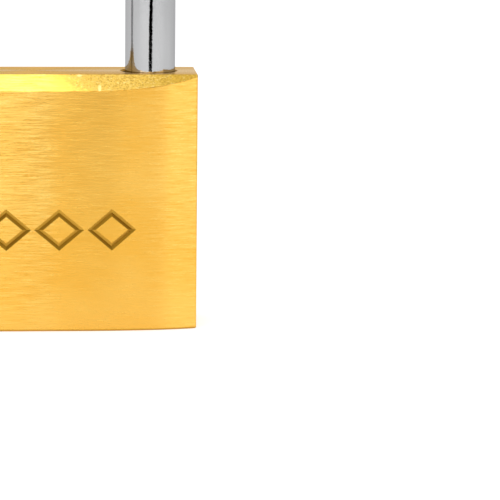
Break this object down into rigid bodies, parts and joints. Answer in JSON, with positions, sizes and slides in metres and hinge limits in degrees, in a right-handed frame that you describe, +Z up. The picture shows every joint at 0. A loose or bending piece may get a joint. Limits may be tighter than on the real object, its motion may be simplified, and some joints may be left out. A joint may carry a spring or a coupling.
{
  "type": "padlock",
  "caption": "Crowned brass block padlock with a chrome-plated steel shackle; a pin tumbler core in its base turns a cam that draws two bolts from the shackle's notches.",
  "frame": {"origin": "middle of the body's base, on the surface that the padlock stands on", "axes": "+Z up through the body and shackle, +X along the width towards the shackle's short leg (toe), -Y out of the engraved front"},
  "size_m": [0.05, 0.0164, 0.0747],
  "materials": {
    "brushed_brass": "brushed across",
    "plug_brass": "ground flush",
    "core_brass": "turned",
    "inner_brass": "turned",
    "pin_brass": "turned",
    "pin_nickel_silver": "turned",
    "shackle_chrome": "bright plated",
    "inner_steel": "ground",
    "spring_steel": "drawn wire"
  },
  "bodies": {
    "body": {"lock_body": "brushed_brass", "core_retaining_pin": "inner_steel", "shackle_retaining_pin": "inner_steel", "chamber_plugs": "plug_brass", "bolt_bore_plug": "plug_brass", "shackle_spring": "spring_steel", "pin_spring_1": "spring_steel", "pin_spring_2": "spring_steel", "pin_spring_3": "spring_steel", "pin_spring_4": "spring_steel", "pin_spring_5": "spring_steel"},
    "shackle": {"shackle": "shackle_chrome"},
    "core": {"cylinder_core": "core_brass", "drive_cam": "inner_steel"},
    "toe_bolt": {"toe_bolt": "inner_brass", "toe_bolt_pin": "inner_steel"},
    "heel_bolt": {"heel_bolt": "inner_brass", "heel_bolt_pin": "inner_steel"},
    "key_pin_1": {"key_pin_1": "pin_brass"},
    "driver_pin_1": {"driver_pin_1": "pin_nickel_silver"},
    "key_pin_2": {"key_pin_2": "pin_brass"},
    "driver_pin_2": {"driver_pin_2": "pin_nickel_silver"},
    "key_pin_3": {"key_pin_3": "pin_brass"},
    "driver_pin_3": {"driver_pin_3": "pin_nickel_silver"},
    "key_pin_4": {"key_pin_4": "pin_brass"},
    "driver_pin_4": {"driver_pin_4": "pin_nickel_silver"},
    "key_pin_5": {"key_pin_5": "pin_brass"},
    "driver_pin_5": {"driver_pin_5": "pin_nickel_silver"}
  },
  "joints": [
    {"name": "shackle_lift", "type": "slide", "parent": "body", "child": "shackle", "axis": [0, 0, 1], "range_m": [0, 0.013], "deforming": ["shackle_spring"]},
    {"name": "core_turn", "type": "hinge", "parent": "body", "child": "core", "pos_m": [0, 0, 0.012], "axis": [0, 0, 1], "range_deg": [-180, 0]},
    {"name": "toe_bolt_slide", "type": "slide", "parent": "body", "child": "toe_bolt", "axis": [1, 0, 0], "range_m": [0, 0.002]},
    {"name": "heel_bolt_slide", "type": "slide", "parent": "body", "child": "heel_bolt", "axis": [-1, 0, 0], "range_m": [0, 0.002]},
    {"name": "driver_pin_1_slide", "type": "slide", "parent": "body", "child": "driver_pin_1", "axis": [1, 0, 0], "range_m": [0, 0.0024], "stiffness_N_per_m": 120, "springref_m": -0.004, "deforming": ["pin_spring_1"]},
    {"name": "driver_pin_2_slide", "type": "slide", "parent": "body", "child": "driver_pin_2", "axis": [1, 0, 0], "range_m": [0, 0.0024], "stiffness_N_per_m": 120, "springref_m": -0.004, "deforming": ["pin_spring_2"]},
    {"name": "driver_pin_3_slide", "type": "slide", "parent": "body", "child": "driver_pin_3", "axis": [1, 0, 0], "range_m": [0, 0.0024], "stiffness_N_per_m": 120, "springref_m": -0.004, "deforming": ["pin_spring_3"]},
    {"name": "driver_pin_4_slide", "type": "slide", "parent": "body", "child": "driver_pin_4", "axis": [1, 0, 0], "range_m": [0, 0.0024], "stiffness_N_per_m": 120, "springref_m": -0.004, "deforming": ["pin_spring_4"]},
    {"name": "driver_pin_5_slide", "type": "slide", "parent": "body", "child": "driver_pin_5", "axis": [1, 0, 0], "range_m": [0, 0.0024], "stiffness_N_per_m": 120, "springref_m": -0.004, "deforming": ["pin_spring_5"]},
    {"name": "key_pin_1_slide", "type": "slide", "parent": "core", "child": "key_pin_1", "axis": [1, 0, 0], "range_m": [0, 0.0021]},
    {"name": "key_pin_2_slide", "type": "slide", "parent": "core", "child": "key_pin_2", "axis": [1, 0, 0], "range_m": [0, 0.0009]},
    {"name": "key_pin_3_slide", "type": "slide", "parent": "core", "child": "key_pin_3", "axis": [1, 0, 0], "range_m": [0, 0.0027]},
    {"name": "key_pin_4_slide", "type": "slide", "parent": "core", "child": "key_pin_4", "axis": [1, 0, 0], "range_m": [0, 0.0015]},
    {"name": "key_pin_5_slide", "type": "slide", "parent": "core", "child": "key_pin_5", "axis": [1, 0, 0], "range_m": [0, 0.0021]}
  ],
  "couplings": [
    {"joint": "toe_bolt_slide", "follows": "core_turn", "m_per_rad": -0.00063661},
    {"joint": "heel_bolt_slide", "follows": "core_turn", "m_per_rad": -0.00063661}
  ]
}
